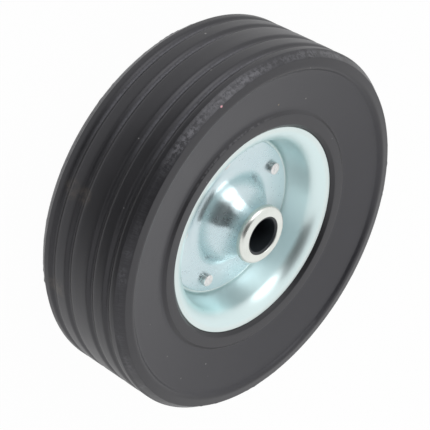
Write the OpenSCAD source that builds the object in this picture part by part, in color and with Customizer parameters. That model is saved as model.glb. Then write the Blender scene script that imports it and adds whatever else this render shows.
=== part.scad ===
// Jockey wheel: a solid rubber tyre clamped between two pressed steel rim halves.
// The wheel lies on its side. The axle line is Z and the wheel's mid-plane is z = 0.
// Every profile below is drawn for the front half, as points [radius, height].
// The rear pieces are the front ones turned over.

/* [Tyre] */
// Outer diameter over the tread
tyre_d = 215; // [205:1:235]
// Width over the two shoulders
tyre_w = 65; // [62:1:80]
// Width of the bevel between the tread and the shoulder edge
bevel_w = 5.6; // [3:0.1:7]
// How far that bevel falls below the tread
bevel_drop = 3.3; // [1:0.1:5]
// Width of the flat ring at the outside of the sidewall
shoulder_ring_w = 6.5; // [4:0.1:9]
// Depth of the step from that ring down to the side panel
panel_step = 2.2; // [0.5:0.1:2.5]
// Radial run of that step, which is a soft slope
panel_step_run = 1.2; // [0.3:0.1:2]

/* [Tread grooves] */
// Distance from the mid-plane to each inner groove
inner_groove_h = 8.5; // [7:0.1:10]
// Distance from the mid-plane to each outer groove
outer_groove_h = 20.9; // [18:0.1:22]
// Width of a groove at the tread
groove_w = 5.6; // [3:0.1:7]
// Depth of a groove
groove_depth = 1.7; // [0.8:0.1:2.5]

/* [Raised ring of the tyre around the rim] */
// Width of the ring's face
ring_w = 6; // [4:0.1:9]
// How far the face falls from its outer to its inner edge
ring_fall = 0.3; // [0:0.1:2]
// Height of the ring's outer step above the side panel
ring_rise = 1.5; // [0.5:0.1:3]
// Radial run of that outer step
ring_step_run = 1.8; // [0.3:0.1:2.5]
// Width of the bevel from the ring's face down to the rim lip
ring_bevel_w = 2.1; // [1:0.1:3]
// Height of that bevel
ring_bevel_h = 1.9; // [0.5:0.1:3]
// Clearance between the rubber and the steel
seat_gap = 0.15; // [0.05:0.05:0.3]

/* [Rim halves] */
// Sheet thickness
rim_t = 2.5; // [1.5:0.1:3]
// Outer diameter of the lip
lip_d = 123.8; // [116:0.2:130]
// Height of the lip's face above the mid-plane
lip_h = 24.6; // [20:0.1:26]
// Width of the lip's flat face
lip_flat = 0.6; // [0.3:0.1:2]
// Radius of the bend from the lip into the dish, on the visible face
lip_bend = 9.8; // [8:0.1:11]
// Slope of the dish wall
wall_slope = 80; // [76:1:84]
// Radius of the bend from the dish wall into the web, on the visible face
foot_bend = 3; // [2:0.1:5]

/* [Hub plates] */
// Sheet thickness
plate_t = 2; // [1.5:0.1:2.5]
// Gap between the plate's edge and the bend at the foot of the dish
plate_margin = 0.7; // [0.3:0.1:2]
// Diameter at which the plate turns up into its dome
dome_d = 61; // [54:1:64]
// Radius of the bend there, on the visible face
dome_foot_bend = 5.5; // [4:0.1:7]
// Slope of the dome above that bend
dome_slope = 75; // [70:1:80]
// Radius of the hollow below the neck, as a share of the dome's own radius
neck_share = 0.79; // [0.6:0.01:1]
// Straight length of the neck, where it grips the tube
neck_land = 1; // [0.5:0.1:2]
// Clearance between the neck and the tube
neck_gap = 0.1; // [0.05:0.05:0.3]

/* [Hub tube and bush] */
// Length of the hub over its two rolled ends
hub_l = 62; // [58:0.5:68]
// Wall of the tube
tube_t = 2; // [1.5:0.1:3]
// Diameter of the rolled ends
collar_d = 34.8; // [34:0.1:40]
// Thickness of the rolled ends
collar_t = 4.4; // [4.2:0.1:5.5]
// Radius of their outer edge
collar_edge = 3; // [1.5:0.1:3.4]
// Radius of their under edge
collar_heel = 0.6; // [0.2:0.1:0.7]
// Diameter of the bore for the axle
bore_d = 20; // [16:0.5:21]
// Wall of the bush that lines the bore
bush_t = 1.4; // [1:0.1:2]
// How far each end of the bush lies inside the end of the hub
bush_inset = 0.3; // [0.1:0.1:1]
// Chamfer at the mouths of the bore
bore_chamfer = 0.8; // [0.2:0.1:0.9]
// Clearance between the bush and the tube
bush_gap = 0.05; // [0.02:0.01:0.1]

/* [Rivets] */
// Number of rivets
rivet_count = 5; // [3:1:6]
// Diameter of the circle that they stand on
rivet_circle_d = 76.8; // [74:0.2:80]
// Diameter of a head
head_d = 7.4; // [6.5:0.1:9]
// Height of a head
head_h = 2.8; // [1.5:0.1:4]
// Chamfer round a head
head_chamfer = 0.4; // [0.1:0.1:0.8]
// Diameter of a shank
shank_d = 6; // [4:0.1:6.2]
// Clearance round a shank
shank_gap = 0.05; // [0.02:0.01:0.1]

/* [Hidden] */
$fn = 128;
arc_steps = 12;
cut_slack = 1;

rubber = [0.17, 0.17, 0.18];
zinc = [0.74, 0.84, 0.86];
tube_steel = [0.87, 0.86, 0.82];
rivet_steel = [0.84, 0.84, 0.83];
black_plastic = [0.06, 0.07, 0.08];

// Tyre: the tread, the side panel between its two steps, and the ring beside the lip
tread_r = tyre_d / 2;
half_w = tyre_w / 2;
shoulder_r = tread_r - bevel_drop;
panel_r = shoulder_r - shoulder_ring_w;
lip_r = lip_d / 2;
ring_in_r = lip_r + ring_bevel_w;
ring_r = ring_in_r + ring_w;
ring_in_h = lip_h + ring_bevel_h;
ring_h = ring_in_h + ring_fall;
// A groove is cut by a circle that meets the tread over groove_w and goes groove_depth deep
groove_cut_r = (pow(groove_w / 2, 2) + pow(groove_depth, 2)) / (2 * groove_depth);

// Rim half: the centres of the two bends, with the wall tangent to both
lip_centre = [lip_r - lip_flat, lip_h - lip_bend];
foot_h = rim_t + foot_bend;
wall_top = on_circle(lip_centre, lip_bend, 90 + wall_slope);
wall_foot_h = foot_h - foot_bend * cos(wall_slope);
wall_foot_r = wall_top[0] - (wall_top[1] - wall_foot_h) / tan(wall_slope);
web_r = wall_foot_r - foot_bend * sin(wall_slope);
foot_centre = [web_r, foot_h];

// Hub tube and bush, from the bore outwards
bore_r = bore_d / 2;
bush_r = bore_r + bush_t;
bush_h = hub_l / 2 - bush_inset;
tube_in_r = bush_r + bush_gap;
tube_r = tube_in_r + tube_t;
collar_r = collar_d / 2;
neck_top = hub_l / 2 - collar_t;

// Hub plate: a dome of radius dome_r1 runs into a hollow of radius neck_r1 below the neck.
// The slope where the two meet is the one that makes the pair span both the height and the run.
plate_top = rim_t + plate_t;
plate_r = web_r - plate_margin;
neck_r = tube_r + neck_gap + plate_t;
dome_foot = [dome_d / 2, plate_top + dome_foot_bend];
dome_start = on_circle(dome_foot, dome_foot_bend, -90 - dome_slope);
neck_start_h = neck_top - neck_land;
dome_run = dome_start[0] - neck_r;
dome_rise = neck_start_h - dome_start[1];
meet_sine = (dome_rise * (sin(dome_slope) + neck_share) + dome_run * cos(dome_slope))
            / ((1 + neck_share) * norm([dome_run, dome_rise]));
meet_slope = asin(meet_sine) - atan2(dome_run, dome_rise);
dome_r1 = dome_rise / ((1 + neck_share) * cos(meet_slope) - cos(dome_slope));
neck_r1 = dome_r1 * neck_share;
dome_centre = on_circle(dome_start, -dome_r1, 90 - dome_slope);
neck_centre = [neck_r + neck_r1, neck_start_h];

// Rivets
rivet_circle_r = rivet_circle_d / 2;
head_r = head_d / 2;
shank_r = shank_d / 2;
rivet_h = plate_top + head_h;

function on_circle(centre, r, angle) = centre + r * [cos(angle), sin(angle)];

function arc(centre, r, from, to) =
    [for (i = [0:arc_steps]) on_circle(centre, r, from + (to - from) * i / arc_steps)];

function backwards(points) = [for (i = [len(points) - 1:-1:0]) points[i]];

function turned_over(points) = [for (p = backwards(points)) [p[0], -p[1]]];

// The face of a rim half at a given depth into its sheet, from the lip to the hole in the web
function rim_face(depth) = concat(
    [[lip_r, lip_h - depth]],
    arc(lip_centre, lip_bend - depth, 90, 90 + wall_slope),
    arc(foot_centre, foot_bend + depth, wall_slope - 90, -90),
    [[tube_r + neck_gap, rim_t - depth]]);

// The tyre's seat, which follows the hidden face of the rim half down to just short of the mid-plane
function tyre_seat() = let (
        depth = rim_t + seat_gap,
        bend = arc(lip_centre, lip_bend - depth, 90, 90 + wall_slope),
        foot = arc(foot_centre, foot_bend + depth, wall_slope - 90, -asin(foot_h / (foot_h + seat_gap))))
    concat([[lip_r + seat_gap, lip_h - depth]], bend, foot);

// Half of the tyre's section, from the tread round the sidewall to the inside at the mid-plane
function tyre_half() = concat(
    [[tread_r, half_w - bevel_w],
     [shoulder_r, half_w],
     [panel_r, half_w],
     [panel_r - panel_step_run, half_w - panel_step],
     [ring_r + ring_step_run, ring_h - ring_rise],
     [ring_r, ring_h],
     [ring_in_r, ring_in_h],
     [lip_r + seat_gap, lip_h]],
    tyre_seat());

// The face of a hub plate at a given depth into its sheet, from its edge to the end of its neck
function plate_face(depth) = concat(
    [[plate_r, plate_top - depth]],
    arc(dome_foot, dome_foot_bend + depth, -90, -90 - dome_slope),
    arc(dome_centre, dome_r1 - depth, 90 - dome_slope, 90 - meet_slope),
    arc(neck_centre, neck_r1 + depth, 270 - meet_slope, 180),
    [[neck_r - depth, neck_top]]);

// Half of the hub tube's section: the rolled end and the tube wall below it
function tube_half() = concat(
    [[tube_in_r, hub_l / 2]],
    arc([collar_r - collar_edge, hub_l / 2 - collar_edge], collar_edge, 90, 0),
    arc([collar_r - collar_heel, neck_top + collar_heel], collar_heel, 0, -90),
    [[tube_r, neck_top]]);

// A closed section on both sides of the mid-plane, from the half on the front side
module both_halves(half) {
    // The tyre's half ends on the mid-plane, so that point is used once
    ends_at_middle = half[len(half) - 1][1] < seat_gap / 100;
    other = turned_over(half);
    polygon(concat(half, [for (i = [ends_at_middle ? 1 : 0:len(other) - 1]) other[i]]));
}

module sheet(face, back) {
    rotate_extrude() polygon(concat(face, backwards(back)));
}

module at_rivets() {
    for (i = [0:rivet_count - 1]) rotate([0, 0, 360 * i / rivet_count]) translate([rivet_circle_r, 0, 0]) children();
}

module rivet_holes() {
    at_rivets() translate([0, 0, -cut_slack])
        cylinder(r = shank_r + shank_gap, h = plate_top + 2 * cut_slack, $fn = 48);
}

module groove_cut(height) {
    translate([tread_r - groove_depth + groove_cut_r, height]) circle(r = groove_cut_r);
}

module tyre() {
    color(rubber) rotate_extrude() difference() {
        both_halves(tyre_half());
        for (side = [-1, 1]) {
            groove_cut(side * inner_groove_h);
            groove_cut(side * outer_groove_h);
        }
    }
}

module rim_half() {
    color(zinc) difference() {
        sheet(rim_face(0), rim_face(rim_t));
        rivet_holes();
    }
}

module hub_plate() {
    color(zinc) difference() {
        sheet(plate_face(0), plate_face(plate_t));
        rivet_holes();
    }
}

module hub_tube() {
    color(tube_steel) rotate_extrude() both_halves(tube_half());
}

module bush() {
    color(black_plastic) rotate_extrude() both_halves([
        [bore_r, bush_h - bore_chamfer],
        [bore_r + bore_chamfer, bush_h],
        [bush_r, bush_h]]);
}

module rivets() {
    color(rivet_steel) at_rivets() rotate_extrude($fn = 48) both_halves([
        [0, rivet_h],
        [head_r - head_chamfer, rivet_h],
        [head_r, rivet_h - head_chamfer],
        [head_r, plate_top],
        [shank_r, plate_top]]);
}

tyre();
rim_half();  // rim_half_front
mirror([0, 0, 1]) rim_half();  // rim_half_rear
hub_plate();  // hub_plate_front
mirror([0, 0, 1]) hub_plate();  // hub_plate_rear
hub_tube();
bush();
rivets();
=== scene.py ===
# %% [markdown]
# A solid rubber jockey wheel, seen from its front side. It is made as eight pieces round one axle line: a
# tyre, two pressed rim halves, two pressed hub plates, a tube, a bush and a set of five rivets. All but the
# rivets are the same at every angle round the axle. So this lesson draws each piece as a section, half of a
# cut through the wheel, and turns it round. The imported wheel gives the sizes. This script gives the edges,
# the small faults and the finishes. It also moves a few bends and the edges of the grooves, by about a
# millimetre at most, because the photo shows them there.

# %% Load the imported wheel
import math

import bpy
import numpy as np
from mathutils import Matrix, Vector


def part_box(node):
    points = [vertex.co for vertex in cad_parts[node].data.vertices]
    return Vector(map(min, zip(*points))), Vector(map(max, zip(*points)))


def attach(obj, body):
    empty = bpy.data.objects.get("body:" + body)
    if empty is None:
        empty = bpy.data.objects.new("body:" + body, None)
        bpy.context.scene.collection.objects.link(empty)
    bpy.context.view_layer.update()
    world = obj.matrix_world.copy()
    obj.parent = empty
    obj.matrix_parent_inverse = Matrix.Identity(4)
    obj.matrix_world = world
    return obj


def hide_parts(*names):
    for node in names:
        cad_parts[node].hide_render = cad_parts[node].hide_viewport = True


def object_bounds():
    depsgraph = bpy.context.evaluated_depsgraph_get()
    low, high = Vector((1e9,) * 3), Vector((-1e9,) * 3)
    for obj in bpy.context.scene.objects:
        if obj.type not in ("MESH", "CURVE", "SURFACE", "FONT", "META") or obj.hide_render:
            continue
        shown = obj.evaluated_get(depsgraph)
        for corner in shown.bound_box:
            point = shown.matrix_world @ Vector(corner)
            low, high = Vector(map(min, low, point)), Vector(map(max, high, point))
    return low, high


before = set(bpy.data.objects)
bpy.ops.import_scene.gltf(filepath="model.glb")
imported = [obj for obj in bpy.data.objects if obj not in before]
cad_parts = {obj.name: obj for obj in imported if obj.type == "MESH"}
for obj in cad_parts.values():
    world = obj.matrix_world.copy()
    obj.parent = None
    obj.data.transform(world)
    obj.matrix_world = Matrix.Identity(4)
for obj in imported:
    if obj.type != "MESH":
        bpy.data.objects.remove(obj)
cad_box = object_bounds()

print("nodes:", sorted(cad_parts))

# %% [markdown]
# Sections are drawn in millimetres, because that is how a maker reads them, and a mesh is in metres. Each
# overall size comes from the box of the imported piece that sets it, so nothing here can drift from it.

# %% Read the overall sizes
MM = 0.001


def reach(node):
    """How far a node reaches out from the axle line and up from the mid-plane, in millimetres."""
    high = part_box(node)[1]
    return high.x / MM, high.z / MM


tread_r, half_w = reach("tyre")
lip_r, lip_h = reach("rim_half_front")
plate_r, neck_top = reach("hub_plate_front")
collar_r, hub_h = reach("hub_tube")
bush_r, bush_h = reach("bush")
rivets_out, rivet_top = reach("rivets")
print("tyre", tread_r, half_w, "lip", lip_r, lip_h, "plate", plate_r, neck_top)
print("collar", collar_r, hub_h, "bush", bush_r, bush_h, "rivets", rivets_out, rivet_top)

# %% [markdown]
# A section is a closed outline of corners. On the real wheel no corner is sharp: rubber takes the radius of
# its mould, and sheet steel that of its die. So each corner carries a radius of its own, and one function
# turns every corner into an arc. The long bends are arcs that are already in the outline.

# %% Draw a section
def corner(r, h, radius=0.0):
    """One corner of an outline: its distance from the axle line, its height and its radius."""
    return np.array([[r, h, radius]])


def on_circle(centre, radius, angle):
    """The point of a circle at an angle in degrees: centre plus radius times the cosine and the sine."""
    turn = np.radians(angle)
    return np.stack([centre[0] + radius * np.cos(turn), centre[1] + radius * np.sin(turn)], axis=-1)


def bend(centre, radius, first, last, steps=20):
    """An arc from one angle to another, as corners that need no radius."""
    points = on_circle(centre, radius, np.linspace(first, last, steps + 1))
    return np.column_stack([points, np.zeros(steps + 1)])


def turned_over(outline):
    """The same outline on the other side of the mid-plane, in the order that carries on round the section."""
    return outline[::-1] * [1, -1, 1]


def rounded(outline, steps=6):
    """Every corner with a radius becomes an arc that touches both of its sides.
    With b and a the unit vectors to the corners before and after, and w half the angle between them, the arc
    starts radius / tan(w) along b, ends as far along a, and its centre lies radius / sin(w) along b + a.
    Where two arcs of an outline meet, both have the same point. Nothing says which way such a point faces, so
    it comes out as not-a-number, and filled() leaves it out."""
    place, radius = outline[:, :2], outline[:, 2:]
    to_before = np.roll(place, 1, axis=0) - place
    to_after = np.roll(place, -1, axis=0) - place
    with np.errstate(invalid="ignore"):
        to_before /= np.linalg.norm(to_before, axis=1, keepdims=True)
        to_after /= np.linalg.norm(to_after, axis=1, keepdims=True)
    half = np.arccos(np.clip((to_before * to_after).sum(1, keepdims=True), -1, 1)) / 2
    middle = to_before + to_after
    middle /= np.maximum(np.linalg.norm(middle, axis=1, keepdims=True), 1e-9)
    centre = place + middle * radius / np.sin(half)
    start = place + to_before * radius / np.tan(half) - centre
    end = place + to_after * radius / np.tan(half) - centre
    counts = np.where(radius[:, 0] > 0, steps + 1, 1)
    which = np.repeat(np.arange(len(place)), counts)
    first = np.repeat(np.cumsum(counts) - counts, counts)
    share = ((np.arange(len(which)) - first) / steps)[:, None]
    sweep = (math.pi - 2 * half)[which]
    fan = np.maximum(np.sin(sweep), 1e-9)
    arc = np.sin((1 - share) * sweep) / fan * start[which] + np.sin(share * sweep) / fan * end[which]
    return centre[which] + arc


shortest_side = 1e-4


def filled(points, spacing):
    """The same outline with points added along its long sides, so that none are further apart than spacing.
    The spacing is one length, or a function that gives it for the middle of each side. A side without a
    length is left out, with the point that it starts from."""
    side = np.roll(points, -1, axis=0) - points
    length = np.linalg.norm(side, axis=1)
    keep = length > shortest_side
    points, side, length = points[keep], side[keep], length[keep]
    widest = spacing(*(points + side / 2).T) if callable(spacing) else spacing
    counts = np.ceil(length / widest).astype(int)
    which = np.repeat(np.arange(len(points)), counts)
    first = np.repeat(np.cumsum(counts) - counts, counts)
    share = (np.arange(len(which)) - first) / counts[which]
    return points[which] + side[which] * share[:, None]


# %% [markdown]
# To turn a section round the axle line is to lay it on a grid: one step of the grid goes along the section,
# the other round the wheel. Each grid square is a face. The grid closes on itself both ways, so the mesh is
# watertight, and its signed volume says whether the faces point outwards or have to be turned. A Spin or a
# Screw modifier could do it too, but a grid lets any point be moved by a formula first.

# %% Turn a section round the axle line
def mesh_piece(name, points, *kinds):
    """A closed mesh object at the origin, from points in millimetres and one array for each kind of face. The
    signed volume is a sixth of the sum, over the triangles, of a . (b x c). If it is negative the faces point
    inwards, and all of them are turned."""
    volume = 0
    for faces in kinds:
        a, b, c, d = (points[faces[:, k]] for k in (0, 1, 2, -1))
        volume += (a * np.cross(b, c)).sum() + (a * np.cross(c, d)).sum()
    way = -1 if volume < 0 else 1
    corners = [face for faces in kinds for face in faces[:, ::way].tolist()]
    mesh = bpy.data.meshes.new(name)
    mesh.from_pydata((points * MM).tolist(), [], corners)
    mesh.shade_smooth()
    piece = bpy.data.objects.new(name, mesh)
    bpy.context.scene.collection.objects.link(piece)
    print(name, len(points), "points", len(corners), "faces", round(abs(volume) / 6000, 1), "cm3")
    return piece


def grid_faces(turns, count):
    """The squares between each line of a grid and the next, with both directions closed into rings."""
    line = np.arange(turns)[:, None]
    step = np.arange(count)[None, :]
    next_line, next_step = (line + 1) % turns, (step + 1) % count
    square = [line * count + step, next_line * count + step,
              next_line * count + next_step, line * count + next_step]
    return np.stack(square, axis=-1).reshape(-1, 4)


def turned(name, section, turns, shape=None):
    """The surface of a section turned round the axle line. At the angle t a point of radius r and height h
    is at (r cos t, r sin t, h). shape(t, r, h) may return other radii and heights for the whole grid."""
    angle = 2 * math.pi * np.arange(turns)[:, None] / turns
    r = np.broadcast_to(section[:, 0], (turns, len(section)))
    h = np.broadcast_to(section[:, 1], (turns, len(section)))
    if shape:
        r, h = shape(angle, r, h)
    points = np.stack([r * np.cos(angle), r * np.sin(angle), h], axis=-1).reshape(-1, 3)
    return mesh_piece(name, points, grid_faces(turns, len(section)))


# %% [markdown]
# The rim halves are pressings: a flat web, a tight bend, a steep wall and a lip that rolls outwards in one
# wide bend. The wide bend is most of what the eye sees of a rim, because it holds the widest highlight.
# Both faces of a sheet follow the same line, so one function draws it at any depth into the sheet: the
# bends that are hollow from the front get wider with the depth, and the others get tighter.

# %% Section of a rim half
rim_t = 2.5
lip_flat = 0.6
lip_bend = 10.5
wall_slope = 76.0
foot_bend = 1.5
tube_r = 13.45
web_hole_r = tube_r + 0.1
sheet_edge = 0.5

lip_centre = (lip_r - lip_flat, lip_h - lip_bend)
wall_top = on_circle(lip_centre, lip_bend, 90 + wall_slope)
foot_h = rim_t + foot_bend
wall_drop = wall_top[1] - (foot_h - foot_bend * math.cos(math.radians(wall_slope)))
wall_foot_r = wall_top[0] - wall_drop / math.tan(math.radians(wall_slope))
web_r = wall_foot_r - foot_bend * math.sin(math.radians(wall_slope))
foot_centre = (web_r, foot_h)


def rim_face(depth):
    """The two bends of a rim half at a depth into its sheet, from the lip down to the web."""
    return np.vstack([bend(lip_centre, lip_bend - depth, 90, 90 + wall_slope),
                      bend(foot_centre, foot_bend + depth, wall_slope - 90, -90)])


def rim_outline():
    """The whole section of a rim half: its front face, the hole for the tube, its back face and its edge."""
    return np.vstack([corner(lip_r, lip_h, sheet_edge), rim_face(0), corner(web_hole_r, rim_t, 0.2),
                      corner(web_hole_r, 0, 0.2), rim_face(rim_t)[::-1],
                      corner(lip_r, lip_h - rim_t, sheet_edge)])


print("web radius", round(web_r, 2), "wall foot", round(float(wall_foot_r), 2))

# %% [markdown]
# The tyre is one moulding of solid rubber. Its tread has four shallow grooves with round bottoms, its
# sidewall has a flat outer ring, a sunk panel and a raised ring beside the rim, and its inside fills the
# channel between the rim halves. The corners are soft, as a worn mould leaves them.

# %% Section of the tyre
bevel_w = 5.6
bevel_drop = 3.3
shoulder_ring_w = 6.5
panel_step = 2.2
panel_step_run = 1.2
groove_heights = (8.5, 20.9)
groove_w = 7.0
groove_depth = 1.4
groove_edge = 2.6
ring_w = 6.0
ring_fall = 0.3
ring_rise = 1.5
ring_step_run = 1.8
ring_bevel_w = 2.1
ring_bevel_h = 1.9
shoulder_fall = 0.7
crest_lift = 0.16
crest_inset = 0.6
seat_gap = 0.15

shoulder_r = tread_r - bevel_drop
panel_r = shoulder_r - shoulder_ring_w
ring_in_r = lip_r + ring_bevel_w
ring_r = ring_in_r + ring_w
ring_h = lip_h + ring_bevel_h + ring_fall
groove_steep = math.degrees(2 * math.atan(2 * groove_depth / groove_w))
groove_bottom = groove_w / 2 / math.sin(math.radians(groove_steep)) - groove_edge


def groove(height):
    """A groove is a soft wave: a round edge, a round bottom and a round edge, which meet at their steepest.
    With a the steepest slope, both radii times sin a give half the width, and times 1 - cos a the depth."""
    edge_r, reach_out = tread_r - groove_edge, groove_w / 2
    bottom = (tread_r - groove_depth + groove_bottom, height)
    return np.vstack([bend((edge_r, height - reach_out), groove_edge, 0, groove_steep, 4),
                      bend(bottom, groove_bottom, 180 + groove_steep, 180 - groove_steep, 7)[1:-1],
                      bend((edge_r, height + reach_out), groove_edge, -groove_steep, 0, 4)])


def tyre_half():
    """The front half of the tyre's section, from the middle of the tread round to the inside."""
    depth = rim_t + seat_gap
    last = -math.degrees(math.asin(foot_h / (foot_h + seat_gap)))
    seat = np.vstack([bend(lip_centre, lip_bend - depth, 90, 90 + wall_slope, 6),
                      bend(foot_centre, foot_bend + depth, wall_slope - 90, last, 8)])
    return np.vstack([groove(groove_heights[0]), groove(groove_heights[1]),
                      corner(tread_r, half_w - bevel_w, 0.5), corner(shoulder_r, half_w - shoulder_fall, 0.3),
                      corner(panel_r + crest_inset, half_w + crest_lift, 2.5),
                      corner(panel_r - panel_step_run, half_w - panel_step, 1.6),
                      corner(ring_r + ring_step_run, ring_h - ring_rise, 1.2), corner(ring_r, ring_h, 0.3),
                      corner(ring_in_r, lip_h + ring_bevel_h, 0.6), corner(lip_r + seat_gap, lip_h, 0.15),
                      corner(lip_r + seat_gap, lip_h - depth), seat])


def tyre_outline():
    """Both halves. The front one ends on the mid-plane, so the rear one starts after that point."""
    front = tyre_half()
    return np.vstack([front, turned_over(front)[1:]])


print("panel radius", round(panel_r, 2), "ring radius", round(ring_r, 2))
print("groove slope", round(groove_steep, 1), "bottom radius", round(groove_bottom, 2))

# %% [markdown]
# Real rubber isn't as even as its drawing. Where the two parts of the mould meet, beside the tread, a thin
# flash was trimmed off and left a ragged line, and the shoulder's edge carries small nibs of it. All of
# this is a few tenths of a millimetre, but it is what the eye takes for rubber. The faults are sums of
# narrow bumps at seeded angles, so they are the same in each run.

# %% Moulding faults of the tyre
def bumps(angle, seed, count, widths, heights):
    """The sum of narrow bell curves at random angles round the wheel: height times exp(-(d / width)^2 / 2),
    where d is the distance round to the bump's own angle. Widths are in degrees."""
    draw = np.random.default_rng(seed)
    at = draw.uniform(0, 2 * math.pi, count)
    width = np.radians(draw.uniform(*widths, count))
    height = draw.uniform(*heights, count)
    away = (angle[..., None] - at + math.pi) % (2 * math.pi) - math.pi
    return (height * np.exp(-0.5 * (away / width) ** 2)).sum(-1)


def near(value, centre, width):
    """A bell curve that is 1 where the value is at the centre."""
    return np.exp(-0.5 * ((value - centre) / width) ** 2)


def waves(angle, h, seed, count, size):
    """A slow unevenness: the mean of sine waves that run round the tyre and a little across it."""
    draw = np.random.default_rng(seed)
    total = np.zeros(np.broadcast_shapes(angle.shape, h.shape))
    for rounds in range(2, 2 + count):
        phase, tilt = draw.uniform(0, 2 * math.pi), draw.uniform(-0.15, 0.15)
        total = total + np.sin(rounds * angle + tilt * h + phase) / count
    return size * total


parting_h = half_w - bevel_w + 1.3
nib_h = half_w - shoulder_fall - 0.15
lump_h = half_w - 2.6
step_r = panel_r - panel_step_run / 2
outside_r = panel_r + 2
wave_size = 0.12
wave_inset = 0.05
seam_depth = 0.16


def moulded(angle, r, h):
    """Moves the tyre's surface by its moulding faults: slow waves on the tread, which lie a little inside so
    that the wheel stays in its box, and nibs, the trimmed seam and lumps on both shoulders."""
    r = r + (waves(angle, h, seed=4, count=7, size=wave_size) - wave_inset) * near(r, tread_r, 4)
    for side, seed in ((1, 11), (-1, 21)):
        up = side * h
        outer = r > outside_r
        nibs = bumps(angle, seed, count=46, widths=(0.15, 0.6), heights=(0.05, 0.42))
        r = r + outer * near(up, nib_h, 0.3) * nibs
        ragged = seam_depth + bumps(angle, seed + 1, count=90, widths=(0.2, 1.1), heights=(-0.14, 0.3))
        r = r - outer * near(up, parting_h, 0.3) * ragged
        lumps = bumps(angle, seed + 2, count=70, widths=(0.6, 2.4), heights=(-0.06, 0.06))
        r = r + outer * near(up, lump_h, 1.0) * lumps
        step = bumps(angle, seed + 3, count=40, widths=(0.4, 2.5), heights=(-0.12, 0.14))
        r = r + near(r, step_r, 0.7) * (up > half_w - panel_step) * step
    return r, h


print("nibs at height", round(nib_h, 2), "seam at", round(parting_h, 2), "lumps at", round(lump_h, 2))

# %% [markdown]
# A wheel's mesh is as fine as its section and its turns together. The faults need many turns, so the
# section has to save points where nobody would miss them: on flat rubber, and inside, where the rim hides
# it. The turns are then as many as keep the tyre under 200,000 triangles, two to each square of its grid.

# %% Turn the tyre
most_squares = 99900
spacing_hidden = 12.0
spacing_bevel = 0.75
spacing_plain = 2.6


def tyre_spacing(r, h):
    """Points are close on the bevels, where most of the faults are, and few inside."""
    on_bevel = (r > outside_r) & (np.abs(h) > half_w - bevel_w)
    return np.where(r < lip_r, spacing_hidden, np.where(on_bevel, spacing_bevel, spacing_plain))


tyre_section = filled(rounded(tyre_outline(), 3), tyre_spacing)
tyre = turned("tyre_moulding", tyre_section, most_squares // len(tyre_section), moulded)
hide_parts("tyre")
print("section points", len(tyre_section))

# %% [markdown]
# The rim halves need no faults: steel comes off the press smooth. What they need is many points in their
# bends, because polished metal shows every flat. The rear half is the front one with its section turned
# over.

# %% Turn the rim halves
rim_section = filled(rounded(rim_outline()), 1.5)
rims = {}
for side, sign in (("front", 1), ("rear", -1)):
    rims[side] = turned(f"{side}_rim_pressing", rim_section * [1, sign], 360)
    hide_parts(f"rim_half_{side}")

# %% [markdown]
# A hub plate is drawn up from a flat disc: a bend at the foot, a dome, and a hollow that runs up into the
# neck which grips the tube. The dome and the hollow are two arcs that meet at one slope. That slope is the
# one at which the pair spans both the height and the run. So once the slope at the foot is chosen, the size
# of the dome follows from it.

# %% Section of a hub plate
plate_t = 2.0
dome_r = 30.5
dome_foot_bend = 5.5
dome_slope = 67.0
neck_share = 0.79
neck_land = 1.0
neck_r = tube_r + 0.1 + plate_t
plate_top = rim_t + plate_t

dome_foot = (dome_r, plate_top + dome_foot_bend)
dome_start = on_circle(dome_foot, dome_foot_bend, -90 - dome_slope)
run = dome_start[0] - neck_r
rise = neck_top - neck_land - dome_start[1]
steep = math.radians(dome_slope)
meet_sine = ((rise * (math.sin(steep) + neck_share) + run * math.cos(steep))
             / ((1 + neck_share) * math.hypot(run, rise)))
meet = math.asin(meet_sine) - math.atan2(run, rise)
dome_bend = rise / ((1 + neck_share) * math.cos(meet) - math.cos(steep))
neck_bend = dome_bend * neck_share
dome_centre = on_circle(dome_start, -dome_bend, 90 - dome_slope)
neck_centre = (neck_r + neck_bend, neck_top - neck_land)
meet_slope = math.degrees(meet)


def plate_face(depth):
    """The three arcs of a hub plate at a depth into its sheet, from its flat flange up to its neck."""
    return np.vstack([bend(dome_foot, dome_foot_bend + depth, -90, -90 - dome_slope),
                      bend(dome_centre, dome_bend - depth, 90 - dome_slope, 90 - meet_slope),
                      bend(neck_centre, neck_bend + depth, 270 - meet_slope, 180)])


def plate_outline():
    """The whole section of a hub plate: its face, the end of its neck, its back and its sheared edge."""
    return np.vstack([corner(plate_r, plate_top, 0.6), plate_face(0), corner(neck_r, neck_top, 0.2),
                      corner(neck_r - plate_t, neck_top, 0.2), plate_face(plate_t)[::-1],
                      corner(plate_r, plate_top - plate_t, 0.1)])


plate_section = filled(rounded(plate_outline()), 1.2)
plates = {}
for side, sign in (("front", 1), ("rear", -1)):
    plates[side] = turned(f"{side}_hub_pressing", plate_section * [1, sign], 360)
    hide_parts(f"hub_plate_{side}")
print("dome bend", round(dome_bend, 2), "slope where it meets the hollow", round(meet_slope, 1))

# %% [markdown]
# The hub tube is a plain pipe whose ends were rolled outwards over the necks. The bush lines it, and its
# mouth is chamfered so that an axle finds its way in.

# %% Turn the hub tube and the bush
collar_t = 4.4
collar_edge = 3.0
collar_heel = 0.6
bore_r = 10.0
bore_chamfer = 0.8
tube_in_r = bush_r + 0.05


def tube_half():
    """Half of the tube's section: the rolled end and the outside of the wall below it."""
    return np.vstack([corner(tube_in_r, hub_h, 0.45),
                      bend((collar_r - collar_edge, hub_h - collar_edge), collar_edge, 90, 0, 12),
                      bend((collar_r - collar_heel, hub_h - collar_t + collar_heel), collar_heel, 0, -90, 6),
                      corner(tube_r, hub_h - collar_t, 0.2)])


def bush_half():
    """Half of the bush's section: the end of the bore, the chamfer and the end face."""
    return np.vstack([corner(bore_r, bush_h - bore_chamfer, 0.4), corner(bore_r + bore_chamfer, bush_h, 0.25),
                      corner(bush_r, bush_h, 0.1)])


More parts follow.
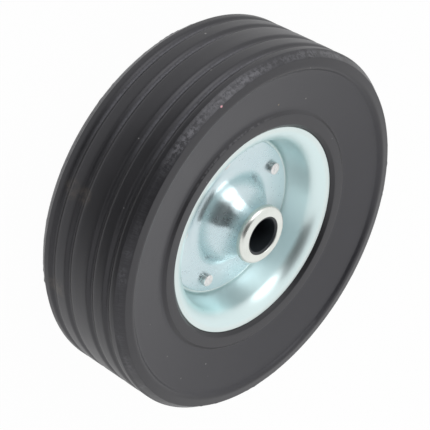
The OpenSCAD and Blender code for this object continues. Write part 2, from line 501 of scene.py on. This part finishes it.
def both_halves(half):
    """A section that is the same on both sides of the mid-plane."""
    return np.vstack([half, turned_over(half)])


tube = turned("rolled_hub_tube", filled(rounded(both_halves(tube_half())), 1.5), 256)
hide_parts("hub_tube")
bush = turned("bore_bush", filled(rounded(both_halves(bush_half()), 5), 2.5), 192)
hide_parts("bush")

# %% [markdown]
# The rivets are solid pins, upset at both ends. A hammered head is never quite round or flat: its rim
# bulges a little here and there and its face is dished by the tool. Each head gets its own lobes from a
# seeded draw.

# %% Section of a rivet
rivet_count = 5
head_r = 3.7
head_h = rivet_top - plate_top
head_dish = 0.12
head_dish_r = 1.9
head_gap = 0.02
head_lobes = 0.035
head_tilt = 0.02
head_sink = 0.08
shank_r = 3.0
rivet_circle_r = rivets_out - head_r
rivet_turns = 48
pole_r = 0.35


def rivet_half():
    """Half of a rivet's section, from the middle of the head's face to the shank."""
    return np.vstack([corner(0.4, rivet_top - head_dish), corner(head_dish_r, rivet_top),
                      corner(head_r, rivet_top - 0.1, 0.55), corner(head_r, plate_top + head_gap, 0.1),
                      corner(shank_r, plate_top + head_gap, 0.1)])


def rivet_section():
    """Both halves, filled with points, and without the stretch that closes the section on the axis."""
    outline = rounded(np.vstack([both_halves(rivet_half()), corner(-5, 0)]), 5)[:-1]
    section = filled(outline, 0.9)
    return section[section[:, 0] > pole_r]


# %% Upset the rivets
def rivet_points(section, at, seed):
    """One rivet: its section turned round its own axis, with lobes of a tenth of a millimetre and a slight
    tilt on its heads, and moved to its place on the circle. A head sinks a little, so that its tilt doesn't
    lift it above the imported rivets."""
    draw = np.random.default_rng(seed)
    angle = 2 * math.pi * np.arange(rivet_turns)[:, None] / rivet_turns
    r, h = section[:, 0], section[:, 1]
    phase = draw.uniform(0, 2 * math.pi, (2, 3))
    lobes = sum(np.sin((k + 2) * angle + phase[(h < 0).astype(int), k]) for k in range(3)) / 3
    swell = 1 - head_lobes * np.clip(r / head_r, 0, 1) ** 2 * (np.abs(h) > plate_top) * (1 - lobes)
    tilt = draw.uniform(-head_tilt, head_tilt, 2)
    x, y = r * swell * np.cos(angle), r * swell * np.sin(angle)
    lean = (np.abs(h) > plate_top + head_h / 2) * (tilt[0] * x + tilt[1] * y - head_sink)
    place = (rivet_circle_r * math.cos(at), rivet_circle_r * math.sin(at))
    return np.stack([x + place[0], y + place[1], np.broadcast_to(h, x.shape) + np.sign(h) * lean], axis=-1)


def rivet_faces(count):
    """The squares of a grid that is open at both ends, and a fan of triangles round a pole at each end."""
    line, step = np.arange(rivet_turns)[:, None], np.arange(count - 1)[None, :]
    after = (line + 1) % rivet_turns
    square = [line * count + step + 1, after * count + step + 1, after * count + step, line * count + step]
    ring = np.arange(rivet_turns)
    top, bottom = rivet_turns * count, rivet_turns * count + 1
    first, last = ring * count, ring * count + count - 1
    fans = [np.stack([np.full(rivet_turns, top), first, np.roll(first, -1)], axis=-1),
            np.stack([np.full(rivet_turns, bottom), np.roll(last, -1), last], axis=-1)]
    return np.stack(square, axis=-1).reshape(-1, 4), np.vstack(fans)


def rivet_piece(name):
    """All the rivets as one object of separate closed solids."""
    section = rivet_section()
    count = len(section)
    sides, fans = rivet_faces(count)
    points = []
    for k in range(rivet_count):
        body = rivet_points(section, 2 * math.pi * k / rivet_count, 31 + k).reshape(-1, 3)
        points += [body, [body[::count].mean(0), body[count - 1::count].mean(0)]]
    start = (np.arange(rivet_count) * (rivet_turns * count + 2))[:, None, None]
    return mesh_piece(name, np.vstack(points), (sides + start).reshape(-1, 4), (fans + start).reshape(-1, 3))


rivets = rivet_piece("upset_rivets")
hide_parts("rivets")
print("rivet circle", round(rivet_circle_r, 2))

# %% [markdown]
# A finish is a small network of nodes. Written out node by node it is hard to read, so one class wraps a
# node's output: arithmetic on it adds the Math nodes, and one method adds any other node from its type, its
# settings and the values of its sockets. A pattern reads the Object coordinates, which are this wheel's own
# metres.

# %% A small language for finishes
class Value:
    """An output of a node. Sums, differences, products, quotients and powers of it add Math nodes."""

    def __init__(self, nodes, socket):
        self.nodes = nodes
        self.socket = socket

    def output(self, name):
        """Another output of the same node."""
        return Value(self.nodes, self.socket.node.outputs[name])

    def maths(self, operation, *values):
        """What a Math node makes of those values."""
        return self.nodes.node("Math", {"operation": operation}, dict(enumerate(values)))

    def __add__(self, other):
        return self.maths("ADD", self, other)

    def __radd__(self, other):
        return self.maths("ADD", other, self)

    def __sub__(self, other):
        return self.maths("SUBTRACT", self, other)

    def __rsub__(self, other):
        return self.maths("SUBTRACT", other, self)

    def __mul__(self, other):
        return self.maths("MULTIPLY", self, other)

    def __rmul__(self, other):
        return self.maths("MULTIPLY", other, self)

    def __truediv__(self, other):
        return self.maths("DIVIDE", self, other)

    def __pow__(self, other):
        return self.maths("POWER", self, other)

    def larger(self, other):
        return self.maths("MAXIMUM", self, other)

    def unsigned(self):
        """The value without its sign."""
        return self.maths("ABSOLUTE", self)

    def smooth(self, low, high):
        """0 below low, 1 above high and a soft step between them. With low above high it falls instead."""
        ends = {"Value": self, "From Min": low, "From Max": high}
        return self.nodes.node("MapRange", {"interpolation_type": "SMOOTHSTEP"}, ends)

    def bell(self, centre, width):
        """1 at the centre and falling to 0 over the width on both sides."""
        return (self - centre).unsigned().smooth(width, 0)


class Nodes:
    """The node tree of a material or of the world."""

    def __init__(self, owner):
        owner.use_nodes = True
        self.tree = owner.node_tree

    def node(self, kind, settings=None, values=None):
        """Adds any node: its settings first, and then what its sockets get, a value or a plain number."""
        node = self.tree.nodes.new("ShaderNode" + kind)
        for key, setting in (settings or {}).items():
            setattr(node, key, setting)
        for key, value in (values or {}).items():
            ready = node.inputs[key] if isinstance(key, int) else [
                s for s in node.inputs if s.name == key and s.enabled][0]
            if isinstance(value, Value):
                self.tree.links.new(value.socket, ready)
            else:
                is_colour = isinstance(value, tuple) and ready.type == "RGBA"
                ready.default_value = (*value, 1) if is_colour else value
        return Value(self, [s for s in node.outputs if s.enabled][0])

    def link(self, value, socket):
        """Joins a value to a socket of a node that is there already."""
        self.tree.links.new(value.socket, socket)


class Finish(Nodes):
    """A material with one Principled shader, whose plain numbers are set on its own sockets."""

    def __init__(self, name, **numbers):
        self.material = bpy.data.materials.new(name)
        super().__init__(self.material)
        self.shader = self.tree.nodes["Principled BSDF"]
        for socket, number in numbers.items():
            self.shader.inputs[socket.replace("_", " ")].default_value = number
        self.place = self.node("TexCoord").output("Object")
        parts = self.node("SeparateXYZ", {}, {"Vector": self.place})
        self.x, self.y, self.z = (parts.output(axis) for axis in "XYZ")
        self.radius = (self.x * self.x + self.y * self.y) ** 0.5

    def mix(self, first, second, factor):
        """The first colour where the factor is 0 and the second where it is 1."""
        ends = {"Factor": factor, "A": first, "B": second}
        return self.node("Mix", {"data_type": "RGBA"}, ends)

    def noise(self, scale, detail=3.0, rough=0.55, vector=None):
        """Cloudy noise round 0.5, with so many clouds per metre."""
        ends = {"Vector": vector or self.place, "Scale": scale, "Detail": detail, "Roughness": rough}
        return self.node("TexNoise", {}, ends)

    def round_and_up(self, along, across):
        """Coordinates that follow the wheel: the angle, the radius and the height, with their own scales.
        Noise on them makes marks that run round the wheel. The angle is taken as cosine and sine, so that the
        marks have no seam."""
        return self.node("CombineXYZ", {}, {0: self.x / self.radius * along, 1: self.y / self.radius * along,
                                            2: (self.radius + self.z) * across})

    def side(self, angle, low, high):
        """1 on the side of the wheel at that angle in degrees, and 0 on the rest. low and high are cosines of
        the angle away from it."""
        turn = math.radians(angle)
        return ((self.x * math.cos(turn) + self.y * math.sin(turn)) / self.radius).smooth(low, high)

    def specks(self, scale, size, share, seed=0.0):
        """Round dots: in each cell of a Voronoi pattern, a dot of that size round its point, kept in only so
        large a share of the cells."""
        moved = self.node("VectorMath", {"operation": "ADD"}, {0: self.place, 1: (seed, seed, seed)})
        cells = self.node("TexVoronoi", {"feature": "F1"}, {"Vector": moved, "Scale": scale})
        pick = self.node("SeparateXYZ", {}, {"Vector": cells.output("Color")})
        return cells.smooth(size * scale, size * scale * 0.5) * pick.smooth(1 - share, 1 - share + 0.02)

    def spot(self, angle, radius, height, size):
        """A dot of that size at one place on the wheel, in degrees and millimetres."""
        turn = math.radians(angle)
        place = (radius * math.cos(turn) * MM, radius * math.sin(turn) * MM, height * MM)
        away = self.node("VectorMath", {"operation": "DISTANCE"}, {0: self.place, 1: place})
        return away.output("Value").smooth(size * MM, size * MM * 0.5)

    def set(self, **sockets):
        """Links values to the shader's sockets."""
        for socket, value in sockets.items():
            self.link(value, self.shader.inputs[socket.replace("_", " ")])

    def bump(self, height, strength, distance):
        """Feeds a height to the shader's Normal, so that light sees hills that the mesh doesn't have."""
        ends = {"Height": height, "Strength": strength, "Distance": distance}
        self.set(Normal=self.node("Bump", {}, ends))

    def on(self, piece, slot):
        """Gives the finish to a piece. The slot is not used."""
        piece.data.materials.clear()
        piece.data.materials.append(self.material)


# %% [markdown]
# Rubber is nearly black, but it never looks it: a film of mould release and dust greys it, more on the flat
# sidewall than on the tread. The narrow bevel between the rim and the raised ring is darkened to the blackest
# rubber by painted shade. The trimmed bevel is scuffed, and on one side of the wheel, near +Y, it carries a
# painted highlight, as do the grooves and the edge of the raised ring there. Here and there lie a speck of
# dirt, a nick and a smear of brown. The film is a slow noise, the grain is a fine one, and the marks that the
# mould left run round the wheel, so their noise follows the angle.

# %% Where the rubber changes
# Each pair says where a zone starts and where it is full, in metres of radius or of height from the middle.
sidewall_heights = (0.0225, 0.0245)
sidewall_radii = (0.1045, 0.1035)
panel_inner_radii = (0.0715, 0.0725)
panel_outer_radii = (0.0985, 0.0975)
# Painted shade: the bevel between the rim and the raised ring, inside these radii and above these heights, is
# darkened as if in shadow.
painted_rim_shade_radii = (0.0645, 0.0635)
painted_rim_shade_heights = (0.02, 0.022)
bevel_radii = (0.1036, 0.1044)
groove_radii = (0.1, 0.101)
ring_heights = (0.0255, 0.026)
bevel_middle = (half_w - bevel_w / 2 - 0.2) * MM
# Near this angle the bevel, the grooves and the edge of the raised ring get a painted highlight, and more
# wear.
worn_and_sheen_angle = 83

# Painted shade: the near-black that the bevel beside the rim is given.
rim_shade_black = (0.004, 0.004, 0.0045)
deep_black, soft_black = (0.006, 0.006, 0.0074), (0.014, 0.0137, 0.0162)
ring_grey, panel_grey = (0.0265, 0.0258, 0.028), (0.0315, 0.0312, 0.0365)
# The next three light greys are partly wear and dust and partly a painted highlight.
scuff_and_sheen_grey, groove_dust_and_sheen_grey, torn_and_sheen_grey = (0.13, 0.13, 0.143), (0.13, 0.13, 0.148), (0.11, 0.11, 0.115)
smear_brown, dust_grey = (0.075, 0.062, 0.048), (0.42, 0.41, 0.40)
crumb_brown, speck_pink = (0.45, 0.33, 0.2), (0.9, 0.42, 0.47)


# %% Film and wear of the rubber
def filmed(rubber, height, film, rings):
    """The rubber's own colour under its grey film, with a painted shade on the bevel beside the rim, and how
    much a point belongs to the sidewall.
    """
    cloud = rubber.noise(11, 2)
    shade = film * 0.5 + cloud * 0.35 + rings * 0.15
    colour = rubber.mix(deep_black, soft_black, shade.smooth(0.25, 0.75))
    sidewall = height.smooth(*sidewall_heights) * rubber.radius.smooth(*sidewall_radii)
    panel = rubber.radius.smooth(*panel_inner_radii) * rubber.radius.smooth(*panel_outer_radii)
    colour = rubber.mix(colour, rubber.mix(ring_grey, panel_grey, panel), sidewall * (0.45 + 0.5 * film))
    # Painted shade: the bevel between the rim and the raised ring is darkened towards black.
    painted_rim_shade = rubber.radius.smooth(*painted_rim_shade_radii) * height.smooth(*painted_rim_shade_heights)
    return rubber.mix(colour, rim_shade_black, painted_rim_shade * 0.9), sidewall


def worn_and_sheen(rubber, colour, height, bevel, scratches):
    """Scuffs on the bevel, dust in the grooves and ragged dashes beside the raised ring, all three mixed with
    a painted highlight on the side near +Y.
    """
    # Painted highlight: the side near +Y is lightened on the bevel, in the grooves and beside the ring, and
    # has more wear.
    worn_and_sheen_side = rubber.side(worn_and_sheen_angle, 0.86, 0.98)
    patches = rubber.noise(45, 2).smooth(0.45, 0.65) + worn_and_sheen_side
    flaked_and_sheen = rubber.noise(420, 5, 0.75).smooth(0.42, 0.58) * patches
    scuff_and_sheen = bevel * (0.3 * scratches.smooth(0.42, 0.66) + flaked_and_sheen)
    colour = rubber.mix(colour, scuff_and_sheen_grey, scuff_and_sheen * 0.6)

    low_groove, high_groove = (height.bell(middle * MM, 1.6 * MM) for middle in groove_heights)
    grooves = low_groove.larger(high_groove) * rubber.radius.smooth(*groove_radii)
    # Painted highlight mixed with dust: the grooves on the side near +Y are lightened.
    sheen_and_dust_in_grooves = grooves * worn_and_sheen_side * rubber.noise(800, 4, 0.7).smooth(0.2, 0.6)
    colour = rubber.mix(colour, groove_dust_and_sheen_grey, sheen_and_dust_in_grooves * 0.8)

    beside_ring = rubber.radius.bell((ring_r + 0.5) * MM, 0.8 * MM) * height.smooth(*ring_heights)
    # Painted highlight mixed with tears: the edge of the raised ring on the side near +Y is lightened.
    torn_and_sheen = beside_ring * rubber.noise(500, 3).smooth(0.4, 0.55) * worn_and_sheen_side
    return rubber.mix(colour, torn_and_sheen_grey, torn_and_sheen * 0.8)


tread_nicks = ((76, 107.5, 11), (64, 107.5, -15))
sidewall_nicks = ((187, 84, 28.3), (38, 79, 27.2), (214, 80, 27.4), (201, 90, 29.5))


def dotted(rubber, places, size):
    """Dots of one size at several places: angle, radius and height, in degrees and millimetres."""
    dots = rubber.spot(*places[0], size)
    for place in places[1:]:
        dots = dots.larger(rubber.spot(*place, size))
    return dots


def dirtied(rubber, colour):
    """Brown smears on the tread, dust, nicks, and two single specks."""
    stains = (rubber.spot(125, 107, -7.6, 6).larger(rubber.spot(125, 107, -17.5, 7))
              .larger(rubber.spot(156, 107, -17.5, 8)))
    smear = stains * rubber.noise(260, 4, 0.7).smooth(0.35, 0.65)
    colour = rubber.mix(colour, smear_brown, smear * 0.6)
    dust = rubber.specks(160, 0.00042, 0.16) * rubber.noise(30, 2).smooth(0.45, 0.6)
    nicks = dotted(rubber, tread_nicks, 0.7).larger(dotted(rubber, sidewall_nicks, 0.8))
    colour = rubber.mix(colour, dust_grey, dust.larger(nicks) * 0.6)
    colour = rubber.mix(colour, crumb_brown, rubber.spot(54, 77, 26.8, 0.8) * 0.8)
    return rubber.mix(colour, speck_pink, rubber.spot(84, 104.2, 32.2, 1.05))


# %% Rubber
def rubber_finish():
    rubber = Finish("moulded_rubber", Specular_IOR_Level=0.66, Specular_Tint=(0.95, 0.945, 1.0, 1.0))
    height = rubber.z.unsigned()
    film = rubber.noise(38, 4)
    grain = rubber.noise(1500, 2, 0.7)
    rings = rubber.noise(1, 3, 0.6, rubber.round_and_up(5, 900))
    scratches = rubber.noise(1, 4, 0.7, rubber.round_and_up(260, 500))
    bevel = height.bell(bevel_middle, 3.4 * MM) * rubber.radius.smooth(*bevel_radii)

    colour, sidewall = filmed(rubber, height, film, rings)
    colour = dirtied(rubber, worn_and_sheen(rubber, colour, height, bevel, scratches))
    gloss = 0.37 - 0.05 * sidewall + 0.1 * film + 0.1 * (rings - 0.5)
    rubber.set(Base_Color=colour, Roughness=gloss)
    rubber.bump(grain * 0.5 + rings * 0.35 + scratches * bevel * 1.6, 0.3, 0.08 * MM)
    return rubber


rubber = rubber_finish()
rubber.on(tyre, "tyre_rubber")
print("rubber nodes", len(rubber.tree.nodes))

# %% [markdown]
# The pressings are zinc plated and passivated pale blue. Metal has no colour of its own apart from its
# reflections, so its base colour is the tint that one reflection gets. In the dish light bounces twice or
# more, and the tint deepens to teal by itself. Plating isn't even: it has tiny dark pits, faint clouds and
# the fine rings that drawing the sheet leaves on the dome. Those rings are too fine to see, but they smear
# a reflection across themselves, so every highlight is drawn out from the axle towards the tyre. The
# shader's Anisotropic setting does that. Its smear runs round the Z axis as the rings do, and a rotation of
# 0.25, a quarter of a turn, makes it cross them.

# %% Zinc plate
# Again each pair says where a zone starts and where it is full, in metres of radius.
wall_radii, wall_foot_radii = (0.060, 0.0575), (0.0475, 0.049)
dome_radii, dome_top_radii = (0.0315, 0.0285), (0.0165, 0.019)
flange_inner_radii, flange_outer_radii = (0.0325, 0.0335), (0.0475, 0.0465)
wall_teal, pit_dark = (0.7, 0.832, 0.835), (0.12, 0.14, 0.15)


def zinc_finish(name, thin, thick, drawn, dull, brushed):
    """Zinc with two tints, where its blue film is thin and where it is thick. drawn says how deep the rings
    are that the press drew into the sheet, and on the dome they are deepest. brushed says how far they smear
    a reflection."""
    zinc = Finish(name, Metallic=1.0, Anisotropic=brushed, Anisotropic_Rotation=0.25)
    cloud = zinc.noise(26, 3)
    fine = zinc.noise(420, 3, 0.6)
    rings = zinc.noise(1, 4, 0.65, zinc.round_and_up(6, 4200))
    wall = zinc.radius.smooth(*wall_radii) * zinc.radius.smooth(*wall_foot_radii)
    dome = zinc.radius.smooth(*dome_radii) * zinc.radius.smooth(*dome_top_radii)
    flange = zinc.radius.smooth(*flange_inner_radii) * zinc.radius.smooth(*flange_outer_radii)

    patches = zinc.noise(60, 2).smooth(0.36, 0.56) * flange
    pits = (zinc.specks(640, 0.0003, 0.3) * patches).larger(zinc.specks(230, 0.0003, 0.05, 0.3))
    colour = zinc.mix(zinc.mix(thin, thick, cloud.smooth(0.3, 0.7)), wall_teal, wall)
    colour = zinc.mix(colour, pit_dark, pits * 0.8)
    gloss = dull + 0.06 * cloud + 0.05 * (fine - 0.5) + 0.3 * pits
    zinc.set(Base_Color=colour, Roughness=gloss)
    zinc.bump(rings * (drawn + dome) + fine * 0.06 - pits * 0.2, 1.0, 0.04 * MM)
    return zinc


rim_zinc = zinc_finish("rim_zinc_plate", thin=(0.69, 0.79, 0.78), thick=(0.74, 0.825, 0.815),
                       drawn=0.25, dull=0.32, brushed=0.65)
hub_zinc = zinc_finish("hub_zinc_plate", thin=(0.585, 0.715, 0.752), thick=(0.665, 0.772, 0.8),
                       drawn=0.04, dull=0.25, brushed=0.9)
for side in ("front", "rear"):
    rim_zinc.on(rims[side], "zinc_plate")
    hub_zinc.on(plates[side], "zinc_plate")
print("zinc nodes", len(rim_zinc.tree.nodes), "and", len(hub_zinc.tree.nodes))

# %% [markdown]
# The tube and the rivets are bright steel with no blue in them: the tube is turned, so its marks run round
# it, and the rivet faces were struck, so theirs have no direction. The bush is black nylon with a soft
# shine.

# %% Steel and nylon
def tube_finish():
    steel = Finish("turned_steel", Metallic=1.0)
    rings = steel.noise(1, 4, 0.7, steel.round_and_up(3, 5200))
    cloud = steel.noise(90, 3)
    colour = steel.mix((0.735, 0.765, 0.72), (0.79, 0.815, 0.775), cloud.smooth(0.3, 0.7))
    steel.set(Base_Color=colour, Roughness=0.27 + 0.14 * (rings - 0.5) + 0.05 * cloud)
    steel.bump(rings, 0.2, 0.05 * MM)
    return steel


def rivet_finish():
    steel = Finish("struck_steel", Metallic=1.0)
    cloud = steel.noise(500, 4, 0.65)
    colour = steel.mix((0.66, 0.64, 0.63), (0.86, 0.84, 0.83), cloud.smooth(0.3, 0.6))
    steel.set(Base_Color=colour, Roughness=0.34 + 0.2 * (cloud - 0.5))
    steel.bump(cloud, 0.12, 0.1 * MM)
    return steel


def nylon_finish():
    nylon = Finish("black_nylon", Specular_IOR_Level=0.45)
    rings = nylon.noise(1, 3, 0.6, nylon.round_and_up(3, 2400))
    colour = nylon.mix((0.018, 0.0235, 0.028), (0.034, 0.041, 0.047), nylon.noise(200, 3))
    nylon.set(Base_Color=colour, Roughness=0.3 + 0.15 * rings)
    nylon.bump(rings, 0.15, 0.05 * MM)
    return nylon


tube_finish().on(tube, "tube_steel")
rivet_finish().on(rivets, "rivet_steel")
nylon_finish().on(bush, "black_plastic")

pieces = (tyre, *rims.values(), *plates.values(), tube, bush, rivets)
for piece in pieces:
    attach(piece, "root")
print("dressed pieces", len(pieces))

# %% [markdown]
# The wheel lies on its rear side, and the camera looks down on it and is rolled, so that the wheel seems to
# stand. The camera's place is given as a photographer would: how far round, how high, how far off and how
# much it is rolled. The lens is long, so the far side of the wheel is hardly smaller than the near side.

# %% Camera
camera_azimuth = 200.05
camera_elevation = 34.91
camera_roll = 119.66
camera_distance = 0.9354
camera_lens = 140.63
camera_sensor = 36.0
aim_aside = (-0.0045, -0.0010)


def direction(azimuth, elevation):
    """The unit vector towards a place at that azimuth and elevation, in degrees. Azimuth 0 is towards -Y and
    90 towards +X."""
    a, e = math.radians(azimuth), math.radians(elevation)
    return Vector((math.sin(a) * math.cos(e), -math.cos(a) * math.cos(e), math.sin(e)))


def add_camera():
    back = direction(camera_azimuth, camera_elevation)
    upright = (-back).to_track_quat("-Z", "Y").to_matrix()
    turn = upright @ Matrix.Rotation(math.radians(camera_roll), 3, "Z")
    aim = turn @ Vector((*aim_aside, 0))
    camera = bpy.data.objects.new("camera", bpy.data.cameras.new("camera"))
    camera.data.lens = camera_lens
    camera.data.sensor_width = camera_sensor
    camera.matrix_world = Matrix.Translation(aim + back * camera_distance) @ turn.to_4x4()
    bpy.context.scene.collection.objects.link(camera)
    bpy.context.scene.camera = camera
    return camera


camera = add_camera()
print("camera at", [round(v, 4) for v in camera.matrix_world.translation])

# %% [markdown]
# The floor is a plain pale sheet that goes on past the edge of every view. To the camera it is nearly
# white, as the paper behind a packshot is, and only a small share of it takes light and shadow, so the
# wheel still stands on something. In reflections it is all white. So is the world, which is also white to
# the camera and a softer white as a light.

# %% Floor and world
def by_ray(nodes, camera, gloss, other):
    """A number that is chosen by the kind of ray: one for the camera's own rays, one for rays that a gloss or
    a clear surface sends out, and one for all the rest."""
    path = nodes.node("LightPath")
    seen = path.output("Is Camera Ray")
    shiny = path.output("Is Glossy Ray").larger(path.output("Is Transmission Ray"))
    return other + seen * (camera - other) + shiny * (gloss - other)


def flat_sheet(name, middle, across, up):
    """A rectangle from its middle and its two half sides."""
    corners = [middle - across - up, middle + across - up, middle + across + up, middle - across + up]
    mesh = bpy.data.meshes.new(name)
    mesh.from_pydata(corners, [], [(0, 1, 2, 3)])
    sheet = bpy.data.objects.new(name, mesh)
    bpy.context.scene.collection.objects.link(sheet)
    return sheet


def plain_paint(name, level):
    """A dull surface of one grey."""
    paint = bpy.data.materials.new(name)
    paint.use_nodes = True
    shader = paint.node_tree.nodes["Principled BSDF"]
    shader.inputs["Base Color"].default_value = (level, level, level, 1)
    shader.inputs["Roughness"].default_value = 0.9
    return paint


paper_grey = 0.85


def add_floor(half_size, camera_share, gloss_share):
    """A flat square under the wheel. Those shares of it are plain white to the camera and in reflections."""
    middle = Vector((0, 0, cad_box[0].z))
    floor = flat_sheet("floor", middle, Vector((half_size, 0, 0)), Vector((0, half_size, 0)))
    paper = plain_paint("pale_paper", paper_grey)
    nodes = Nodes(paper)
    paint, out = nodes.tree.nodes["Principled BSDF"], nodes.tree.nodes["Material Output"]
    glow = nodes.node("Emission")
    both = nodes.node("MixShader", {}, {0: by_ray(nodes, camera_share, gloss_share, 0.0)})
    nodes.tree.links.new(paint.outputs[0], both.socket.node.inputs[1])
    nodes.tree.links.new(glow.socket, both.socket.node.inputs[2])
    nodes.link(both, out.inputs["Surface"])
    floor.data.materials.append(paper)


def add_world(fill):
    """White to the camera and in reflections, and an even fill light to all other rays."""
    world = bpy.data.worlds.new("studio")
    bpy.context.scene.world = world
    nodes = Nodes(world)
    sky = nodes.tree.nodes["Background"]
    sky.inputs["Color"].default_value = (1, 1, 1, 1)
    nodes.link(by_ray(nodes, 1.0, 1.0, fill), sky.inputs["Strength"])


add_floor(half_size=12.0, camera_share=0.975, gloss_share=1.0)
add_world(fill=0.75)
print("floor at", round(cad_box[0].z, 4))

# %% [markdown]
# A shiny thing in an all-white room looks flat, because there is nothing in it to reflect. Behind the
# camera of a real studio it is dark, and that is the dark patch in the dome and on the side of the collar.
# A dark curtain stands there. The tread looks down at the floor, so a grey card lies on the floor beside it
# on the camera's side, and the tread fades to black towards it. The camera sees neither, from any side, but
# the wheel does. One soft box lights the wheel. It stands beyond the wheel's top edge as the camera sees
# it, and makes the bright bands on the bevel, in the grooves and on the dome. The world's own white fills
# in the rest.

# %% Curtain, card and lamp
def facing(azimuth, elevation, distance):
    """The place in that direction, and a turn that makes -Z look back from there to the wheel's centre."""
    back = direction(azimuth, elevation)
    return back * distance, (-back).to_track_quat("-Z", "Y").to_matrix()


def add_curtain(azimuth, elevation, distance, width, height, level):
    """A dark cloth that hangs square to that direction, and that only reflections and light meet."""
    place, turn = facing(azimuth, elevation, distance)
    across, up = turn @ Vector((width / 2, 0, 0)), turn @ Vector((0, height / 2, 0))
    curtain = flat_sheet("curtain", place, across, up)
    curtain.data.materials.append(plain_paint("dark_cloth", level))
    curtain.visible_camera = False


card_thickness = 1 * MM


def add_card(azimuth, start, width, depth, level):
    """A dark card flat on the floor. Its near edge is at that distance from the axle line."""
    out = direction(azimuth, 0)
    middle = out * (start + depth / 2) + Vector((0, 0, cad_box[0].z + card_thickness))
    card = flat_sheet("card", middle, Vector((-out.y, out.x, 0)) * width / 2, out * depth / 2)
    card.data.materials.append(plain_paint("dark_card", level))
    card.visible_camera = False
    card.visible_diffuse = False
    card.visible_shadow = False


def soft_box(name, azimuth, elevation, distance, width, height, watts):
    """A rectangular lamp that faces the wheel's centre from that direction."""
    place, turn = facing(azimuth, elevation, distance)
    lamp = bpy.data.lights.new(name, "AREA")
    lamp.shape = "RECTANGLE"
    lamp.size = width
    lamp.size_y = height
    lamp.energy = watts
    box = bpy.data.objects.new(name, lamp)
    box.matrix_world = Matrix.Translation(place) @ turn.to_4x4()
    bpy.context.scene.collection.objects.link(box)


add_curtain(azimuth=208, elevation=47, distance=1.35, width=1.35, height=1.9, level=0.17)
add_card(azimuth=213, start=0.135, width=0.75, depth=0.8, level=0.3)
soft_box("key", azimuth=145, elevation=29, distance=1.3, width=0.75, height=0.62, watts=3.8)
print("lamps", [lamp.name for lamp in bpy.data.lights])

# %% [markdown]
# Blender gives the imported wheel its looks but not its size. The imported wheel's box is printed, in
# millimetres, and the dressed wheel is drawn to fill that box and to stay inside it.

# %% Print the imported box
bpy.context.scene.view_settings.view_transform = "Standard"
print("packed box", [round(v * 1000, 2) for v in (*cad_box[0], *cad_box[1])])
